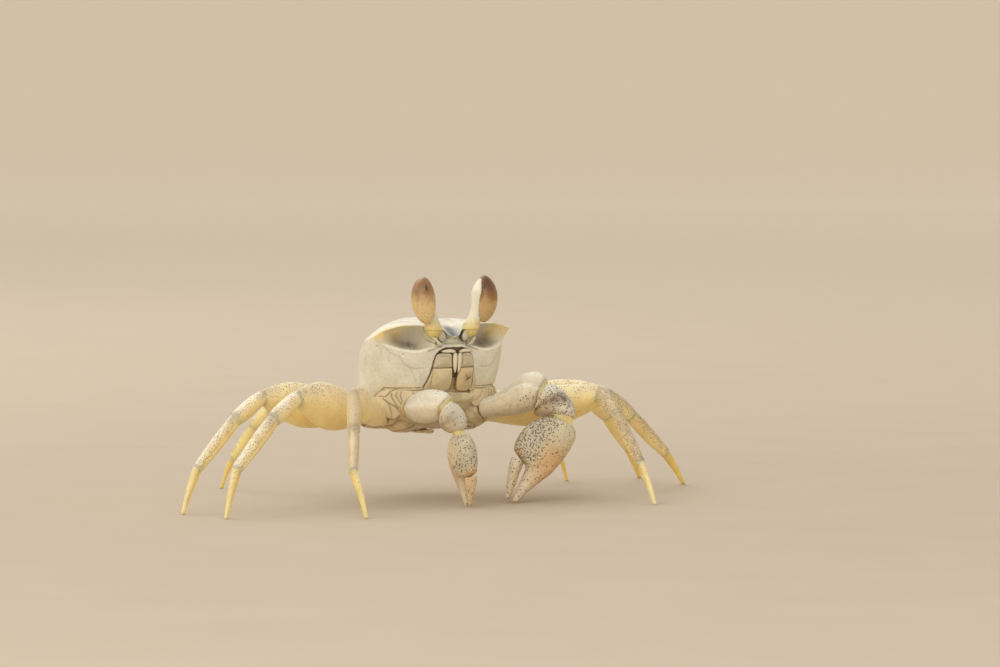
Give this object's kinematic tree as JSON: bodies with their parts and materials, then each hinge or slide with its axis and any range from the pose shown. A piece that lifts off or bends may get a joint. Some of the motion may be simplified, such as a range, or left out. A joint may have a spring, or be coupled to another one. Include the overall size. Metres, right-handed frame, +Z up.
{
  "type": "ghost crab model",
  "caption": "Pale ghost crab in its shell, standing on its walking legs with both claws lowered and its stalked eyes raised.",
  "frame": {"origin": "On the floor under the middle of the box around the whole crab.", "axes": "+X towards the crab's left side, along the spread of the legs; -Y the way the crab faces; +Z up."},
  "size_m": [0.1164, 0.0744, 0.0431],
  "materials": {
    "shell": "satin, cream to pale grey-beige, translucent at thin rims",
    "underside": "satin, tan with brown seams",
    "eyestalk": "satin, ivory",
    "cornea": "glossy, ochre to dark brown",
    "feeler": "matt",
    "claw": "satin, cream with dark pits",
    "leg": "satin, translucent warm yellow",
    "toe": "satin, deeper yellow"
  },
  "bodies": {
    "root": {"carapace": "shell", "sternum": "underside", "abdomen": "underside", "maxilliped_r": "underside", "eyestalk_r": "eyestalk", "cornea_r": "cornea", "antennule_r": "feeler", "antenna_r": "feeler", "maxilliped_l": "underside", "eyestalk_l": "eyestalk", "cornea_l": "cornea", "antennule_l": "feeler", "antenna_l": "feeler", "claw_l_merus": "claw", "claw_l_carpus": "claw", "claw_l_hand": "claw", "claw_l_finger": "claw", "claw_r_merus": "claw", "claw_r_carpus": "claw", "claw_r_hand": "claw", "claw_r_finger": "claw", "leg_r1_merus": "leg", "leg_r1_carpus": "leg", "leg_r1_propodus": "leg", "leg_r1_dactyl": "toe", "leg_r2_merus": "leg", "leg_r2_carpus": "leg", "leg_r2_propodus": "leg", "leg_r2_dactyl": "toe", "leg_r3_merus": "leg", "leg_r3_carpus": "leg", "leg_r3_propodus": "leg", "leg_r3_dactyl": "toe", "leg_r4_merus": "leg", "leg_r4_carpus": "leg", "leg_r4_propodus": "leg", "leg_r4_dactyl": "toe", "leg_l1_merus": "leg", "leg_l1_carpus": "leg", "leg_l1_propodus": "leg", "leg_l1_dactyl": "toe", "leg_l2_merus": "leg", "leg_l2_carpus": "leg", "leg_l2_propodus": "leg", "leg_l2_dactyl": "toe", "leg_l3_merus": "leg", "leg_l3_carpus": "leg", "leg_l3_propodus": "leg", "leg_l3_dactyl": "toe", "leg_l4_merus": "leg", "leg_l4_carpus": "leg", "leg_l4_propodus": "leg", "leg_l4_dactyl": "toe"}
  },
  "joints": []
}
